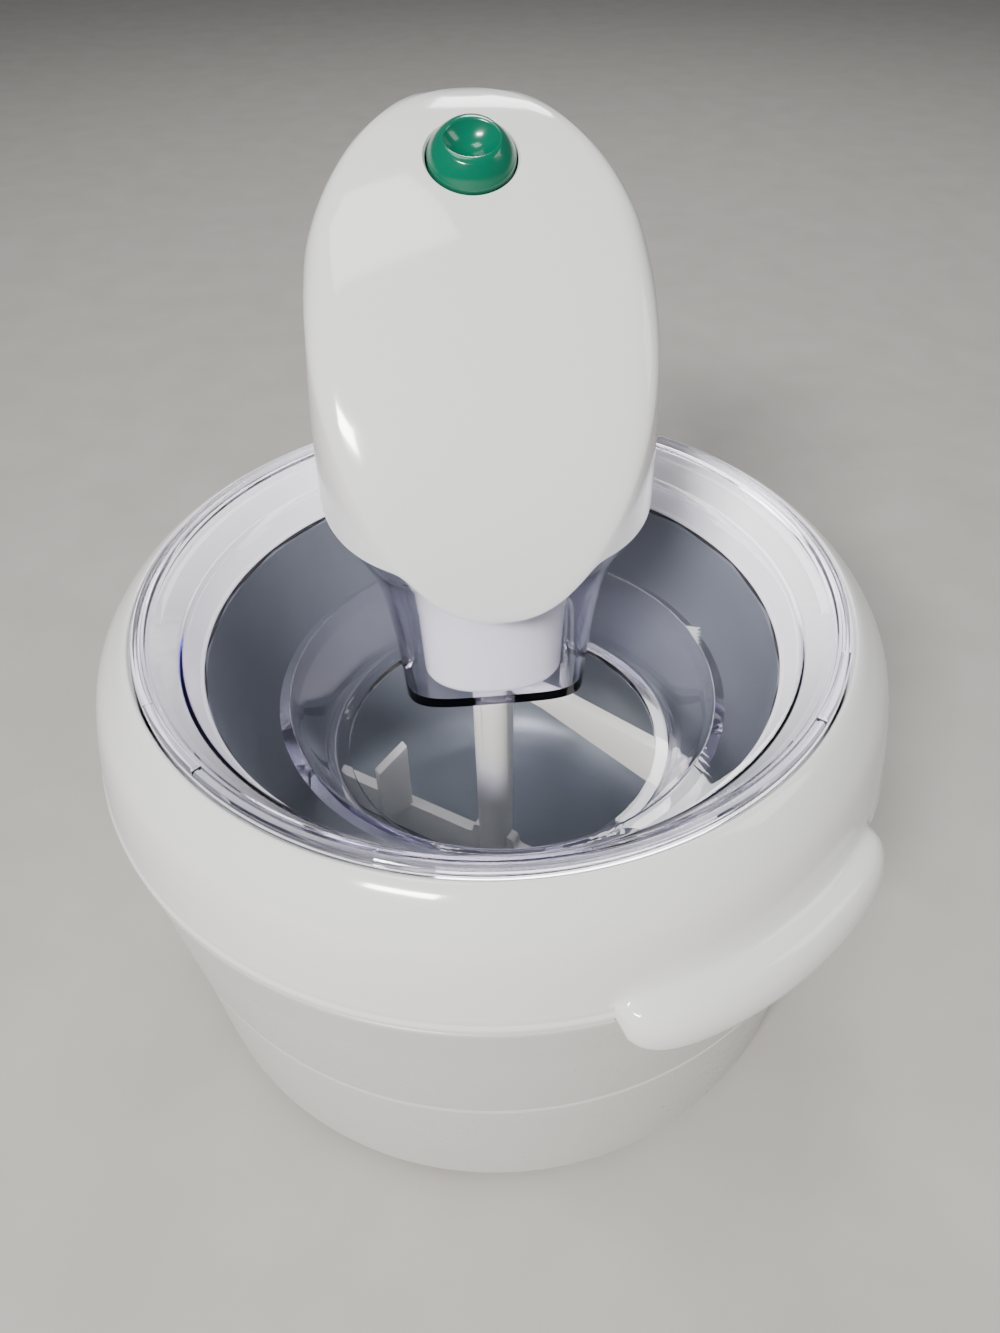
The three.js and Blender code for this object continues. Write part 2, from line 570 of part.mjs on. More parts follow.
function makeDrive() {
  const halfWheel = 180 / WHEEL_TEETH;
  const output = gear(WHEEL_TEETH, STAGE_ANGLE + halfWheel, 5.3, ...OUTPUT_Z, [0, 0]);
  part('output_gear', output, gearPlastic);
  const square = 9.8;
  const shoulder = OUTPUT_Z[0] - 1.6;
  const sleeveTop = OUTPUT_Z[1] + 1.2;
  const sleeve = turned([
    [0, 117], [7.3, 117], [7.3, shoulder], [5, shoulder], [5, sleeveTop], [0, sleeveTop],
  ], COARSE);
  part('drive_sleeve', cut(sleeve, block(square, square, 24, 0, 0, 126)), steel);

  const wheel = gear(WHEEL_TEETH, ROTOR_ANGLE + halfWheel, 2.2, ...STAGE_Z, stageCentre);
  const pinion = gear(PINION_TEETH, STAGE_ANGLE + 180, 2.2, OUTPUT_Z[0] - 0.4, STAGE_Z[0] + 0.5, stageCentre);
  part('stage_gear', joined(wheel, pinion), gearPlastic);
  part('stage_axle', disc(1.5, FLANGE_Z[0] + 1, PLATE_Z[1] - 0.2, ...stageCentre), steel);

  const rotorPinion = gear(PINION_TEETH, ROTOR_ANGLE + 180, 1.9, STAGE_Z[0] - 0.2, STAGE_Z[1], rotorCentre);
  part('rotor_pinion', rotorPinion, brass);
  part('rotor_shaft', disc(1.5, STAGE_Z[0] - 0.6, MOTOR_Z[1] - 1.8, ...rotorCentre), steel);
  part('rotor_core', washer(1.9, 9, MOTOR_Z[0] + 5, MOTOR_Z[1] - 6, ...rotorCentre, COARSE), steel);

  const plateRim = Array.from({ length: 36 }, (_, i) => {
    const [x, y] = polar(PLATE_RADIUS, 10 * i);
    return [x, y + PLATE_Y];
  });
  const hole = (radius, [x, y]) => disc(radius, PLATE_Z[0] - 1, PLATE_Z[1] + 1, x, y);
  const plate = cut(
    prism(plateRim, ...PLATE_Z),
    hole(2.2, rotorCentre),
    hole(1.8, stageCentre),
    ...PILLARS.map((centre) => hole(1.9, centre)),
    ...COVER_SCREWS.map((centre) => hole(4.3, centre)),
  );
  part('gearbox_plate', plate, steel);

  const canTop = MOTOR_Z[1] - 1.6;
  const [canFloor, capTop] = MOTOR_Z;
  part('motor_can', ring([
    [2.6, canFloor], [16, canFloor], [16, canTop],
    [14.8, canTop], [14.8, canFloor + 1.2], [2.6, canFloor + 1.2],
  ], COARSE, ...rotorCentre), steel);
  part('motor_end_cap', turned([
    [0, canTop + 0.4], [16, canTop + 0.4], [15.4, capTop],
    [5, capTop], [4.4, capTop + 1.4], [0, capTop + 1.4],
  ], COARSE, ...rotorCentre), blackPlastic);
  part('stator_coil', washer(10.2, 14.2, canFloor + 3, capTop - 4, ...rotorCentre, COARSE), copper);
}

// ---- Button and switch --------------------------------------------------------------------------
function makeButton() {
  const rim = BUTTON_RADIUS - 3.7;
  const dish = new THREE.SphereGeometry(1, 20, 12);
  dish.scale(rim - 0.2, rim - 1.5, 3.2);
  dish.translate(0, 0, BUTTON_HEIGHT + 0.2);
  const body = turned([
    [0, -7.6], [BUTTON_RADIUS + 1.4, -7.6], [BUTTON_RADIUS + 1.4, -5],
    [BUTTON_RADIUS, -5], [BUTTON_RADIUS, -0.4],
    [BUTTON_RADIUS - 0.6, 1.2], [BUTTON_RADIUS - 2.2, 3.4], [rim, BUTTON_HEIGHT], [0, BUTTON_HEIGHT],
  ], COARSE);
  part('button', placed(cut(body, solid(dish)), buttonPlace), green);
  part('switch_plunger', placed(disc(1.6, -14.4, -7.9), buttonPlace), blackPlastic);
  const bodyTop = -7.9 - BUTTON_TRAVEL - 0.6;
  const ears = block(26.8, 6.4, 2.4, 0, 0, bodyTop - 3.2);
  const casing = joined(block(20, 6.4, 9, 0, 0, bodyTop - 4.5), ears);
  const housing = cut(casing, disc(2, bodyTop - 7, bodyTop + 1));
  part('switch_body', placed(housing, buttonPlace), blackPlastic);
}

// ---- Cord ---------------------------------------------------------------------------------------
const backOfHead = HEAD_BACK - 0.6;

// A solid of [radius, distance] points turned about the cord's exit line, which runs straight back.
function alongExit(profile) {
  const matrix = new THREE.Matrix4().makeRotationX(-Math.PI / 2).setPosition(0, 0, CORD_EXIT_Z);
  return placed(turned(profile, SMALL), matrix);
}

const reliefBore = () => alongExit([
  [0, HEAD_BACK - 8], [5.2, HEAD_BACK - 8], [5.2, HEAD_BACK + 4], [0, HEAD_BACK + 4],
]);

const CORD_ROUTE = [
  [0, 95.4, 186], [0, 101, 186], [0, 108, 184.6], [0, 115, 180.6], [0, 121, 174], [0, 125.6, 164],
  [0, 128.4, 152], [0, 130, 138], [0, 130.6, 120], [0, 130.8, 100], [0, 130.8, 80], [0, 130.8, 60],
  [0, 130.8, 42], [0, 131.4, 28], [0, 133.2, 17], [0.3, 137.4, 8.2], [1.1, 143.6, 3.2], [2.4, 150.5, 2.2],
];
const TAIL_ROUTE = [
  [79.8, 150.2, 5.9], [81, 144, 4.6], [82.4, 137, 3], [83.8, 131, 2.3], [84.8, 126.4, 2.2],
];

function cordTube(route) {
  const path = new THREE.CatmullRomCurve3(route.map((point) => new THREE.Vector3(...point)));
  const section = new THREE.Shape(Array.from({ length: 8 }, (_, i) => {
    const angle = (Math.PI * (2 * i + 1)) / 8;
    return new THREE.Vector2((CORD_WIDTH / 2) * Math.cos(angle), (CORD_THICKNESS / 2) * Math.sin(angle));
  }));
  const steps = Math.round(path.getLength() / 8);
  return solid(new THREE.ExtrudeGeometry(section, { steps, extrudePath: path, bevelEnabled: false }));
}

function makeCord() {
  const relief = cut(alongExit([
    [0, backOfHead - 6], [7, backOfHead - 6], [7, backOfHead - 3.8], [4.8, backOfHead - 3.8],
    [4.8, backOfHead + 1], [6.6, backOfHead + 1], [6.6, backOfHead + 4], [5.6, backOfHead + 8],
    [4.2, RELIEF_TIP_Y - 1], [3.8, RELIEF_TIP_Y], [0, RELIEF_TIP_Y],
  ]), alongExit([[0, backOfHead - 9], [2.4, backOfHead - 9], [2.4, backOfHead - 4], [0, backOfHead - 4]]));
  part('strain_relief', relief, cordWhite);
  part('cord', cordTube(CORD_ROUTE), cordWhite);
  part('cord_coil', washer(COIL_INNER, COIL_OUTER, 0.2, COIL_HEIGHT, ...COIL_CENTRE, 28), cordWhite);
  part('cord_tail', cordTube(TAIL_ROUTE), cordWhite);
  part('plug', makePlug(), cordWhite);
}

// A flat two-blade plug lying on its side, its blades towards the front.
function makePlug() {
  const middle = 6.4; // height of its middle
  // y, half width, half height and height of the middle of each section, from the cord to the face
  const sections = [
    [-0.4, 3.6, 2.2, 2.4], [-9, 5, 3.2, 3.6], [-12, 8.6, 5, middle],
    [-26, 10.6, 6, middle], [-30, 9.8, 5.6, middle],
  ];
  const rings = sections.map(([y, halfWidth, halfHeight, height]) => Array.from({ length: 16 }, (_, i) => {
    const angle = (2 * Math.PI * (i + 0.5)) / 16;
    const c = Math.cos(angle);
    const s = Math.sin(angle);
    const x = halfWidth * Math.sign(c) * Math.sqrt(Math.abs(c));
    return new THREE.Vector3(x, y, height + halfHeight * Math.sign(s) * Math.sqrt(Math.abs(s)));
  }));
  let body = lofted(rings);
  for (const side of [-1, 1]) body = joined(body, block(1.5, 20, 6.3, side * 6.35, -37, middle));
  return body.translate([84.9, 125.8, 0]);
}

// ---- Paddle -------------------------------------------------------------------------------------
// A blade that stands out from the lower arm; its top slopes up towards the arm.
function makeFin() {
  const root = new THREE.Vector2(-28.8, 19.8);
  const tip = new THREE.Vector2(-39.1, 14.5);
  const along = tip.clone().sub(root).normalize();
  const half = along.rotateAround(new THREE.Vector2(), Math.PI / 2).multiplyScalar(1.7);
  const corner = (end, side, z) => new THREE.Vector3(end.x + side * half.x, end.y + side * half.y, z);
  return lofted([[29, 29], [60.5, 53]].map(([rootZ, tipZ]) => [
    corner(root, 1, rootZ), corner(tip, 1, tipZ), corner(tip, -1, tipZ), corner(root, -1, rootZ),
  ]));
}

// A flat frame in one upright plane: lower arm, wall scraper and sloping top bar on a square-topped shaft.
function makePaddle() {
  const thickness = 4;
  const plane = radians(PADDLE_ANGLE);
  const frame = [
    [-58, 15.5], [-66, 24], [-66, 31], [-8, 31], [-8, 36], [8, 36], [8, 31],
    [60, 31], [60, 86], [55, 89], [17, 104],
    [0, 108], [0, 110.4], [23, 110.4], [55, 104], [64, 100], [67.5, 95], [67.5, 25], [58, 15.5],
  ];
  const lift = new THREE.Matrix4().makeRotationX(Math.PI / 2);
  const upright = new THREE.Matrix4().makeRotationZ(plane).multiply(lift);
  const plate = placed(prism(frame, -thickness / 2, thickness / 2), upright);
  const shaft = lofted([[13.6, 5.2], [113.4, 5.9]].map(([z, half]) => Array.from({ length: 12 }, (_, i) => {
    const angle = plane + (Math.PI * (2 * i + 1)) / 12;
    return new THREE.Vector3(half * Math.cos(angle), half * Math.sin(angle), z);
  })));
  const drive = block(9, 9, 24, 0, 0, 123);
  part('paddle', joined(plate, shaft, drive, makeFin()), ivory);
}

makeHousing();
makeUpperShell();
makeBowl();
makeLid();
makePaddle();
makeHeadCover();
makeHeadBase();
makeDrive();
makeButton();
makeCord();

export default group;
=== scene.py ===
"""Looks of the ice cream maker: fine meshes, materials, cord, lights and camera."""

import json
import math

import bmesh
import bpy
from mathutils import Matrix, Vector


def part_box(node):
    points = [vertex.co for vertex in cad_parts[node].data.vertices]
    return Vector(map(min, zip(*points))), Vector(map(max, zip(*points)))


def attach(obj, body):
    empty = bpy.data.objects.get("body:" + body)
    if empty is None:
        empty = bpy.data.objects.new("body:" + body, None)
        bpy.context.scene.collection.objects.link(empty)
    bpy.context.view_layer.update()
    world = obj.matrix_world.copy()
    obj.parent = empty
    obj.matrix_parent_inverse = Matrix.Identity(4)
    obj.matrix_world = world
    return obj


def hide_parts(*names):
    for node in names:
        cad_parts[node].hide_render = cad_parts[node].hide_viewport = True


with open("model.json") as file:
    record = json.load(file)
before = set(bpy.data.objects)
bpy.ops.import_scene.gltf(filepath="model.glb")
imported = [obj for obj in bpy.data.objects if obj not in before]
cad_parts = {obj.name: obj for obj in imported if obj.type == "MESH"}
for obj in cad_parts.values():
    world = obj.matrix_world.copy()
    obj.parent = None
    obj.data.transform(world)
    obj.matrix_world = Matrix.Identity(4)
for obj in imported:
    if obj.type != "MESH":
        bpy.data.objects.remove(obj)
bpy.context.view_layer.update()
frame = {"nodes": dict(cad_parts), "record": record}

MM = 0.001
TURN = 2 * math.pi

# ---- Sizes, in millimetres, read from the frame where it has them ------------------------------------


def low(node, axis):
    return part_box(node)[0][axis] / MM


def high(node, axis):
    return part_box(node)[1][axis] / MM


SEAM_Z = low("upper_shell", 2) + 7.4
SHELL_TOP = high("upper_shell", 2)
GRIP_ANGLE = -59.5
GRIP_HALF_SPAN = 22.0
BOWL_RADIUS = 79.3
BOWL_CORNER = 16.0
LINER_WALL = 1.4
BOWL_RIM_Z = high("bowl_liner", 2) + 1.8
BOWL_FLOOR = low("bowl_liner", 2) + 1.4
RIM_RADIUS = high("bowl_rim", 0)
RIM_TOP = high("bowl_rim", 2)
LID_RADIUS = high("lid", 0)
LID_TOP = 142.6
LID_PLATE_Z = 133.0
FUNNEL_FLOOR = low("lid", 2)
HOLE_Y = -28.7
HOLE_RADIUS = 41.0
SHAFT_HOLE_RADIUS = 8.6
SOCKET_WALL = 2.2
LUG_ANGLES = (-32.5, 90, -147.5)
PADDLE_ANGLE = -34.5
HEAD_WIDTH = 43.5
HEAD_FRONT = -33.2
HEAD_BACK = 63.4
HEAD_MIDDLE = 20.0
HEAD_BOTTOM = 168.0
HEAD_NARROWING = 0.18
NARROWING_HEIGHT = 82.0
HEAD_WALL = 2.4
FACE_PEAK_Y = 52.8
FACE_BASE = 143.5
FACE_RISE = 105.8
FACE_RUN = 88.7
FACE_POWER = 1.533
FACE_CROWN = 0.0016
BUTTON_RADIUS = 10.3
BUTTON_Y = 30.9
BUTTON_HEIGHT = 4.8

# ---- Camera ------------------------------------------------------------------------------------------

CAMERA_PLACE = (-0.0169, -0.2145, 0.3096)
CAMERA_YAW = -5.07  # degrees
CAMERA_DOWN = 42.69
CAMERA_ROLL = -0.78

def make_camera():
    data = bpy.data.cameras.new("camera")
    data.lens = 27.06
    data.sensor_width = 36.0
    data.clip_start = 0.01
    data.clip_end = 20
    camera = bpy.data.objects.new("camera", data)
    bpy.context.scene.collection.objects.link(camera)
    yaw, down, roll = (math.radians(v) for v in (CAMERA_YAW, CAMERA_DOWN, CAMERA_ROLL))
    turn = Matrix.Rotation(yaw, 4, "Z") @ Matrix.Rotation(math.pi / 2 - down, 4, "X")
    turn = turn @ Matrix.Rotation(roll, 4, "Z")
    camera.matrix_world = Matrix.Translation(CAMERA_PLACE) @ turn
    bpy.context.scene.camera = camera


# ---- Materials ---------------------------------------------------------------------------------------


class Nodes:
    """A material under construction: its tree and its one Principled shader."""

    def __init__(self, name, color, roughness, **sockets):
        self.material = bpy.data.materials.new(name)
        self.material.use_nodes = True
        self.tree = self.material.node_tree
        self.shader = self.tree.nodes["Principled BSDF"]
        self.shader.inputs["Base Color"].default_value = (*color, 1)
        self.shader.inputs["Roughness"].default_value = roughness
        for socket, value in sockets.items():
            self.shader.inputs[socket.replace("_", " ")].default_value = value
        self.coordinates = self.tree.nodes.new("ShaderNodeTexCoord").outputs["Object"]

    def noise(self, scale, detail=4.0, stretch=None):
        source = self.coordinates
        if stretch:
            mapping = self.tree.nodes.new("ShaderNodeMapping")
            mapping.inputs["Scale"].default_value = stretch
            self.tree.links.new(source, mapping.inputs["Vector"])
            source = mapping.outputs["Vector"]
        noise = self.tree.nodes.new("ShaderNodeTexNoise")
        noise.inputs["Scale"].default_value = scale
        noise.inputs["Detail"].default_value = detail
        self.tree.links.new(source, noise.inputs["Vector"])
        return noise.outputs["Fac"]

    def ramp(self, source, stops):
        ramp = self.tree.nodes.new("ShaderNodeValToRGB")
        elements = ramp.color_ramp.elements
        for i, (place, color) in enumerate(stops):
            stop = elements[i] if i < 2 else elements.new(place)
            stop.position = place
            stop.color = (*color, 1)
        self.tree.links.new(source, ramp.inputs["Fac"])
        return ramp.outputs["Color"]

    def vary_color(self, source, stops):
        self.tree.links.new(self.ramp(source, stops), self.shader.inputs["Base Color"])

    def vary_roughness(self, source, lowest, highest):
        spread = self.tree.nodes.new("ShaderNodeMapRange")
        spread.inputs["To Min"].default_value = lowest
        spread.inputs["To Max"].default_value = highest
        spread.inputs["From Min"].default_value = 0.3
        spread.inputs["From Max"].default_value = 0.7
        self.tree.links.new(source, spread.inputs["Value"])
        self.tree.links.new(spread.outputs["Result"], self.shader.inputs["Roughness"])

    def bump(self, source, strength, distance):
        bump = self.tree.nodes.new("ShaderNodeBump")
        bump.inputs["Strength"].default_value = strength
        bump.inputs["Distance"].default_value = distance
        self.tree.links.new(source, bump.inputs["Height"])
        self.tree.links.new(bump.outputs["Normal"], self.shader.inputs["Normal"])


def plastic(name, color, rough, spread=0.05, shade=0.03, grain=900, depth=0.00002, **sockets):
    """Moulded plastic: slight colour and gloss variation and a fine skin."""
    nodes = Nodes(name, color, rough, **sockets)
    wide = nodes.noise(18)
    darker = tuple(c * (1 - shade) for c in color)
    nodes.vary_color(wide, [(0.3, darker), (0.7, color)])
    nodes.vary_roughness(nodes.noise(60), rough, rough + spread)
    nodes.bump(nodes.noise(grain, 2), 0.15, depth)
    return nodes.material


def metal(name, color, rough, stretch=(1, 1, 30), scale=60, depth=0.00003, metallic=1.0):
    """Metal with fine drawn marks and uneven gloss."""
    nodes = Nodes(name, color, rough, Metallic=metallic)
    marks = nodes.noise(scale, 5, stretch)
    darker = tuple(c * 0.86 for c in color)
    nodes.vary_color(marks, [(0.3, darker), (0.7, color)])
    nodes.vary_roughness(nodes.noise(25), rough, rough + 0.12)
    nodes.bump(marks, 0.2, depth)
    return nodes.material


def clear_plastic():
    """Clear styrene with a violet cast that deepens where light travels far through it."""
    nodes = Nodes("clear_violet", (0.99, 0.985, 1.0), 0.01, Transmission_Weight=1.0, IOR=1.3,
                  Coat_Weight=0.6, Coat_Roughness=0.02)
    nodes.vary_roughness(nodes.noise(35, 6), 0.0, 0.035)
    tree = nodes.tree
    absorb = tree.nodes.new("ShaderNodeVolumeAbsorption")
    absorb.inputs["Color"].default_value = (0.42, 0.28, 0.88, 1)
    absorb.inputs["Density"].default_value = 28.0
    output = tree.nodes["Material Output"]
    tree.links.new(absorb.outputs["Volume"], output.inputs["Volume"])
    clear = tree.nodes.new("ShaderNodeBsdfTransparent")
    clear.inputs["Color"].default_value = (0.97, 0.965, 0.985, 1)
    path = tree.nodes.new("ShaderNodeLightPath")
    mix = tree.nodes.new("ShaderNodeMixShader")
    tree.links.new(path.outputs["Is Shadow Ray"], mix.inputs["Fac"])
    tree.links.new(nodes.shader.outputs["BSDF"], mix.inputs[1])
    tree.links.new(clear.outputs["BSDF"], mix.inputs[2])
    tree.links.new(mix.outputs["Shader"], output.inputs["Surface"])
    return nodes.material


WHITE = (0.88, 0.88, 0.87)
MATERIALS = {
    "housing_gloss": plastic("gloss_white", WHITE, 0.09, 0.05, 0.02, Coat_Weight=0.35, Coat_Roughness=0.04),
    "housing_satin": plastic("satin_white", (0.66, 0.645, 0.625), 0.26, 0.04, 0.02),
    "foam": plastic("foam_white", (0.82, 0.82, 0.79), 0.9, 0.05, 0.08, 500, 0.0004),
    "rubber": plastic("rubber_black", (0.02, 0.02, 0.021), 0.7, 0.15, 0.2, 700, 0.00006),
    "bowl_metal": metal("bowl_grey", (0.27, 0.295, 0.32), 0.38, (1, 1, 1), 30, metallic=0.4),
    "bowl_shell": plastic("bowl_shell_grey", (0.48, 0.50, 0.52), 0.4),
    "coolant": plastic("coolant_blue", (0.15, 0.3, 0.5), 0.4, 0.2, 0.3, 90, 0.0005),
    "clear_plastic": clear_plastic(),
    "paddle_plastic": plastic("paddle_ivory", (0.76, 0.76, 0.71), 0.32, 0.12, 0.05),
    "green_plastic": plastic("button_green", (0.0, 0.155, 0.085), 0.16, 0.08, 0.12, Coat_Weight=0.4),
    "gear_plastic": plastic("acetal", (0.78, 0.72, 0.58), 0.45, 0.1, 0.06),
    "black_plastic": plastic("black_plastic", (0.016, 0.016, 0.018), 0.4, 0.15, 0.2),
    "cord_plastic": plastic("cord_pale", (0.62, 0.61, 0.60), 0.42, 0.12, 0.06, 400, 0.00008),
    "steel": metal("zinc_steel", (0.56, 0.57, 0.58), 0.28, (1, 1, 8), 120),
    "brass": metal("plain_brass", (0.66, 0.46, 0.18), 0.28, (1, 1, 8), 120),
    "copper": metal("winding_copper", (0.55, 0.2, 0.08), 0.35, (1, 1, 40), 80, 0.0002),
}

SLOT_OF = {row["node"]: row["material_slot"] for row in frame["record"]["subparts"]}
BODY_OF = {node: body for body, nodes in frame["record"]["behaviour"]["bodies"].items() for node in nodes}

# ---- Mesh building -----------------------------------------------------------------------------------


def finish_piece(piece, node, others=(), sharp=38):
    """Gives a new piece the body of the CAD node that it stands for and the material of that node's slot."""
    slot = SLOT_OF[node]
    piece.data.materials.clear()
    piece.data.materials.append(MATERIALS[slot])
    piece.data.polygons.foreach_set("use_smooth", [True] * len(piece.data.polygons))
    piece.data.set_sharp_from_angle(angle=math.radians(sharp))
    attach(piece, BODY_OF[node])
    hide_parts(node, *others)
    return piece


def mesh_piece(name, points, faces):
    """A mesh object from points in millimetres, with its faces turned outwards."""
    mesh = bpy.data.meshes.new(name)
    mesh.from_pydata([(x * MM, y * MM, z * MM) for x, y, z in points], [], faces)
    work = bmesh.new()
    work.from_mesh(mesh)
    bmesh.ops.remove_doubles(work, verts=work.verts, dist=1e-6)
    bmesh.ops.recalc_face_normals(work, faces=work.faces)
    work.to_mesh(mesh)
    work.free()
    piece = bpy.data.objects.new(name, mesh)
    bpy.context.scene.collection.objects.link(piece)
    return piece


def loops_to_faces(loops, across_closed, along_closed):
    """Quads between neighbouring loops of equal length."""
    count = len(loops[0])
    faces = []
    last = len(loops) if along_closed else len(loops) - 1
    for i in range(last):
        a, b = i * count, ((i + 1) % len(loops)) * count
        for j in range(count if across_closed else count - 1):
            k = (j + 1) % count
            faces.append((a + j, a + k, b + k, b + j))
    return faces


def swept_round(name, profile_at, segments=192, closed=True, centre=(0, 0)):
    """A profile of (radius, height) points carried round the vertical axis; it may change with the angle."""
    loops = []
    for i in range(segments):
        angle = TURN * i / segments
        c, s = math.cos(angle), math.sin(angle)
        loops.append([(centre[0] + r * c, centre[1] + r * s, z) for r, z in profile_at(angle)])
    points = [p for loop in loops for p in loop]
    return mesh_piece(name, points, loops_to_faces(loops, closed, True))


def turned(name, profile, segments=192, closed=False, centre=(0, 0)):
    """An open profile that starts and ends on the axis, or a closed ring."""
    return swept_round(name, lambda angle: profile, segments, closed, centre)


def stacked(name, rings):
    """A solid through rings of equal point counts, each end closed by a fan to its middle."""
    count = len(rings[0])
    points = [p for ring in rings for p in ring]
    faces = loops_to_faces(rings, True, False)
    for ring, base in ((rings[0], 0), (rings[-1], (len(rings) - 1) * count)):
        points.append(tuple(sum(p[i] for p in ring) / count for i in range(3)))
        middle = len(points) - 1
        faces += [(middle, base + j, base + (j + 1) % count) for j in range(count)]
    return mesh_piece(name, points, faces)


def filleted(corners, closed=False, steps=5):
    """A profile whose corners (r, z, radius) are rounded."""
    count = len(corners)
    result = []
    for i, (r, z, radius) in enumerate(corners):
        here = Vector((r, z))
        at_end = not closed and i in (0, count - 1)
        if radius <= 0 or at_end:
            result.append((r, z))
            continue
        before = Vector(corners[i - 1][:2]) - here
        after = Vector(corners[(i + 1) % count][:2]) - here
        turn = before.angle(after, math.pi)
        if turn > math.pi - 0.02:
            result.append((r, z))
            continue
        reach = min(radius / math.tan(turn / 2), before.length * 0.48, after.length * 0.48)
        start, end = here + before.normalized() * reach, here + after.normalized() * reach
        for k in range(steps + 1):
            t = k / steps
            result.append(tuple((1 - t) ** 2 * start + 2 * t * (1 - t) * here + t ** 2 * end))
    return result


def curve_through(points, steps=5):
    """A smooth line through points, as a Catmull-Rom curve; works in any number of dimensions."""
    padded = [points[0], *points, points[-1]]
    result = []
    for i in range(1, len(padded) - 2):
        p0, p1, p2, p3 = (Vector(padded[i + k]) for k in (-1, 0, 1, 2))
        for k in range(steps):
            t = k / steps
            q = 2 * p1 + (p2 - p0) * t + (2 * p0 - 5 * p1 + 4 * p2 - p3) * t ** 2
            q += (3 * p1 - p0 - 3 * p2 + p3) * t ** 3
            result.append(tuple(q / 2))
    result.append(tuple(points[-1]))
    return result


def boolean(piece, tool, operation):
    """Joins or cuts piece with tool, and removes tool."""
    modifier = piece.modifiers.new("cut", "BOOLEAN")
    modifier.operation = operation
    modifier.solver = "EXACT"
    modifier.object = tool
    bake(piece)
    bpy.data.objects.remove(tool)


def bake(piece):
    """Replaces a piece's mesh by what its modifiers make of it."""
    graph = bpy.context.evaluated_depsgraph_get()
    mesh = bpy.data.meshes.new_from_object(piece.evaluated_get(graph))
    old = piece.data
    piece.modifiers.clear()
    piece.data = mesh
    mesh.name = piece.name
    bpy.data.meshes.remove(old)


def bevelled(piece, width, segments=2, angle=38):
    modifier = piece.modifiers.new("edges", "BEVEL")
    modifier.width = width * MM
    modifier.segments = segments
    modifier.limit_method = "ANGLE"
    modifier.angle_limit = math.radians(angle)
    modifier.use_clamp_overlap = True
    bake(piece)


def close_gaps(piece):
    """Fills the open loops that a cut through coplanar faces can leave."""
    work = bmesh.new()
    work.from_mesh(piece.data)
    bmesh.ops.holes_fill(work, edges=[edge for edge in work.edges if edge.is_boundary], sides=0)
    bmesh.ops.recalc_face_normals(work, faces=work.faces)
    work.to_mesh(piece.data)
    work.free()


def flatten_shading(piece):
    """Lets the large faces set the normals, so that flat walls stay optically flat."""
    modifier = piece.modifiers.new("flat", "WEIGHTED_NORMAL")
    modifier.keep_sharp = True
    bake(piece)


# ---- Cord --------------------------------------------------------------------------------------------

CORD_WIDTH = 6.4
CORD_THICKNESS = 3.8
CORD_ROUTE = [
    (0, 95.4, 186), (0, 101, 186), (0, 108, 184.6), (0, 115, 180.6), (0, 121, 174), (0, 125.6, 164),
    (0, 128.4, 152), (0, 130, 138), (0, 130.6, 120), (0, 130.8, 100), (0, 130.8, 80), (0, 130.8, 60),
    (0, 130.8, 42), (0, 131.4, 28), (0, 133.2, 17), (0.3, 137.4, 8.2), (1.1, 143.6, 3.2), (2.4, 150.5, 2.2),
]
TAIL_ROUTE = [
    (79.8, 150.2, 5.9), (81, 144, 4.6), (82.4, 137, 3), (83.8, 131, 2.3), (84.8, 126.4, 2.2),
]
COIL_CENTRE = (41, 172)
COIL_TURNS = ((37.4, 2.3), (30.8, 2.3), (30.8, 6.6), (37.4, 6.6))


def cord_path():
    """The whole centreline: down from the head, round the coil in two layers, and out to the plug."""
    down = curve_through(CORD_ROUTE, 4)
    coil = []
    steps = 40
    total = len(COIL_TURNS) * steps
    for i in range(steps // 6, total - steps // 6 + 1):
        along = i / steps
        here = min(len(COIL_TURNS) - 1, int(along))
        into = along - here
        radius, z = COIL_TURNS[here]
        if here + 1 < len(COIL_TURNS) and into > 0.75:
            share = (into - 0.75) / 0.25
            share = share * share * (3 - 2 * share)
            radius += (COIL_TURNS[here + 1][0] - radius) * share
            z += (COIL_TURNS[here + 1][1] - z) * share
        angle = math.pi - TURN * along * (total - steps / 2) / total
        coil.append((COIL_CENTRE[0] + radius * math.cos(angle), COIL_CENTRE[1] + radius * math.sin(angle), z))
    tail = curve_through(TAIL_ROUTE, 4)
    return curve_through([*down[:-3], *coil, *tail[3:]], 2)


def make_cord():
    path = cord_path()
    section = []
    lobe = CORD_THICKNESS / 2
    offset = CORD_WIDTH / 2 - lobe
    for side in (1, -1):
        for k in range(9):
            angle = -math.pi / 2 + math.pi * k / 8
            section.append((side * (offset + lobe * math.cos(angle)), side * lobe * math.sin(angle)))
        section.append((0, side * lobe * 0.72))
    loops = []
    wide = Vector((1, 0, 0))
    for i, point in enumerate(path):
        ahead = Vector(path[min(i + 1, len(path) - 1)]) - Vector(path[max(i - 1, 0)])
        ahead.normalize()
        wide = (wide - ahead * wide.dot(ahead)).normalized()
        if abs(ahead.z) < 0.6:
            flat = ahead.cross(Vector((0, 0, 1))).normalized()
            if flat.dot(wide) < 0:
                flat = -flat
            wide = wide.lerp(flat, 0.5).normalized()
        thin = ahead.cross(wide)
        loops.append([tuple(Vector(point) + wide * a + thin * b) for a, b in section])
    cord = stacked("power_cord", loops)
    finish_piece(cord, "cord", ("cord_coil", "cord_tail"), sharp=60)


# ---- Housing -----------------------------------------------------------------------------------------


